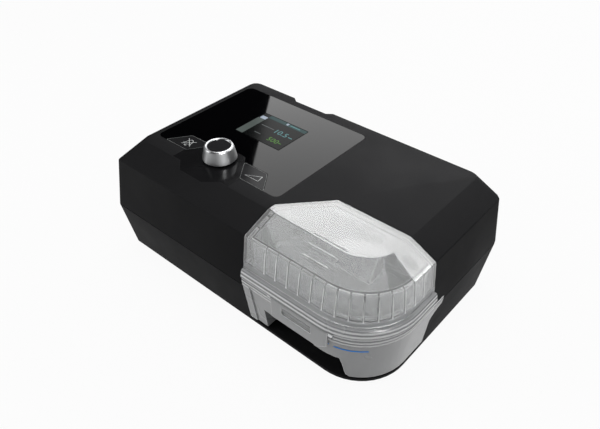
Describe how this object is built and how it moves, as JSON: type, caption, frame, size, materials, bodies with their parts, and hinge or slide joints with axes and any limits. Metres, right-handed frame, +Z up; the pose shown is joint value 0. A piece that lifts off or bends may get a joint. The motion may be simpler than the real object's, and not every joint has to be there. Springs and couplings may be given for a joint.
{
  "type": "bedside breathing machine",
  "caption": "Bedside positive airway pressure machine with a glass control panel, turn-and-press knob, touch keys and a clear pull-out water chamber.",
  "frame": {"origin": "middle of the whole part's footprint, on the surface it stands on", "axes": "+X to the right seen from the control panel, +Y to the back where the hose port is, +Z up"},
  "size_m": [0.2688, 0.1702, 0.1104],
  "materials": {
    "case_black": "fine spark texture, moulded polycarbonate and ABS blend",
    "case_base": "fine spark texture, moulded polycarbonate and ABS blend",
    "panel_glass": "black printed from behind, polished",
    "display": "liquid crystal panel in a moulded frame",
    "key_black": "polished",
    "knob_silver": "satin, turned",
    "knob_disc": "matt",
    "steel": "bright",
    "board_green": "solder mask",
    "parts_dark": "moulded",
    "metal_can": "pressed",
    "card_blue": "moulded",
    "tub_clear": "clear moulded polycarbonate",
    "lid_clear": "clear moulded polycarbonate",
    "plate_metal": "anodised",
    "silicone": "moulded silicone",
    "rubber_black": "moulded",
    "inner_grey": "moulded",
    "impeller_white": "moulded",
    "motor_can": "coated",
    "foam_grey": "open cell foam",
    "filter_white": "fibre fleece"
  },
  "bodies": {
    "case": {"upper_housing": "case_black", "lower_housing": "case_base", "panel_glass": "panel_glass", "display_module": "display", "key_switches": "metal_can", "encoder_body": "metal_can", "control_board": "board_green", "board_screws": "steel", "main_board": "board_green", "board_parts": "parts_dark", "card_reader": "metal_can", "power_socket": "parts_dark", "heater_plate": "plate_metal", "heater_seal": "silicone", "inlet_bellows": "silicone", "outlet_bellows": "silicone", "blower_lower_case": "inner_grey", "blower_upper_case": "inner_grey", "blower_motor": "motor_can", "blower_mounts": "silicone", "air_plenum": "inner_grey", "return_duct": "inner_grey", "outlet_port": "case_black", "port_seal": "silicone", "noise_foam": "foam_grey", "rubber_feet": "rubber_black", "case_screws": "steel"},
    "push": {"push_sleeve": "inner_grey"},
    "knob": {"control_knob": "knob_silver", "knob_cap": "knob_disc", "encoder_shaft": "steel"},
    "mute": {"mute_key": "key_black"},
    "ramp": {"ramp_key": "key_black"},
    "card": {"memory_card": "card_blue"},
    "rotor": {"impeller": "impeller_white", "motor_shaft": "steel"},
    "chamber": {"chamber_tub": "tub_clear", "tub_base_plate": "plate_metal", "tub_seal": "silicone", "latch_pin": "steel"},
    "lid": {"chamber_lid": "lid_clear", "lid_duct": "lid_clear"},
    "latch": {"lid_latch": "tub_clear"},
    "filter": {"filter_cover": "case_black", "filter_pad": "filter_white"}
  },
  "joints": [
    {"name": "knob_press", "type": "slide", "parent": "case", "child": "push", "axis": [0, 0, -1], "range_m": [0, 0.0006], "stiffness_N_per_m": 1500, "springref_m": -0.0012},
    {"name": "knob_spin", "type": "hinge", "parent": "push", "child": "knob", "pos_m": [-0.0564, -0.0319, 0.0978], "axis": [0, 0, 1], "continuous": true},
    {"name": "mute_key_press", "type": "slide", "parent": "case", "child": "mute", "axis": [0, 0, -1], "range_m": [0, 0.0006], "stiffness_N_per_m": 1500, "springref_m": -0.0012},
    {"name": "ramp_key_press", "type": "slide", "parent": "case", "child": "ramp", "axis": [0, 0, -1], "range_m": [0, 0.0006], "stiffness_N_per_m": 1500, "springref_m": -0.0012},
    {"name": "chamber_slide", "type": "slide", "parent": "case", "child": "chamber", "axis": [0, -1, 0], "range_m": [0, 0.11]},
    {"name": "lid_lift", "type": "slide", "parent": "chamber", "child": "lid", "axis": [0, 0, 1], "range_m": [0, 0.05]},
    {"name": "latch_swing", "type": "hinge", "parent": "chamber", "child": "latch", "pos_m": [0.0701, -0.08335, 0.0527], "axis": [-1, 0, 0], "range_deg": [0, 35]},
    {"name": "filter_pull", "type": "slide", "parent": "case", "child": "filter", "axis": [0, 1, 0], "range_m": [0, 0.03]},
    {"name": "card_slide", "type": "slide", "parent": "case", "child": "card", "axis": [-1, 0, 0], "range_m": [0, 0.03]},
    {"name": "impeller_spin", "type": "hinge", "parent": "case", "child": "rotor", "pos_m": [0.0843, 0.03975, 0.025], "axis": [0, 0, 1], "continuous": true}
  ]
}
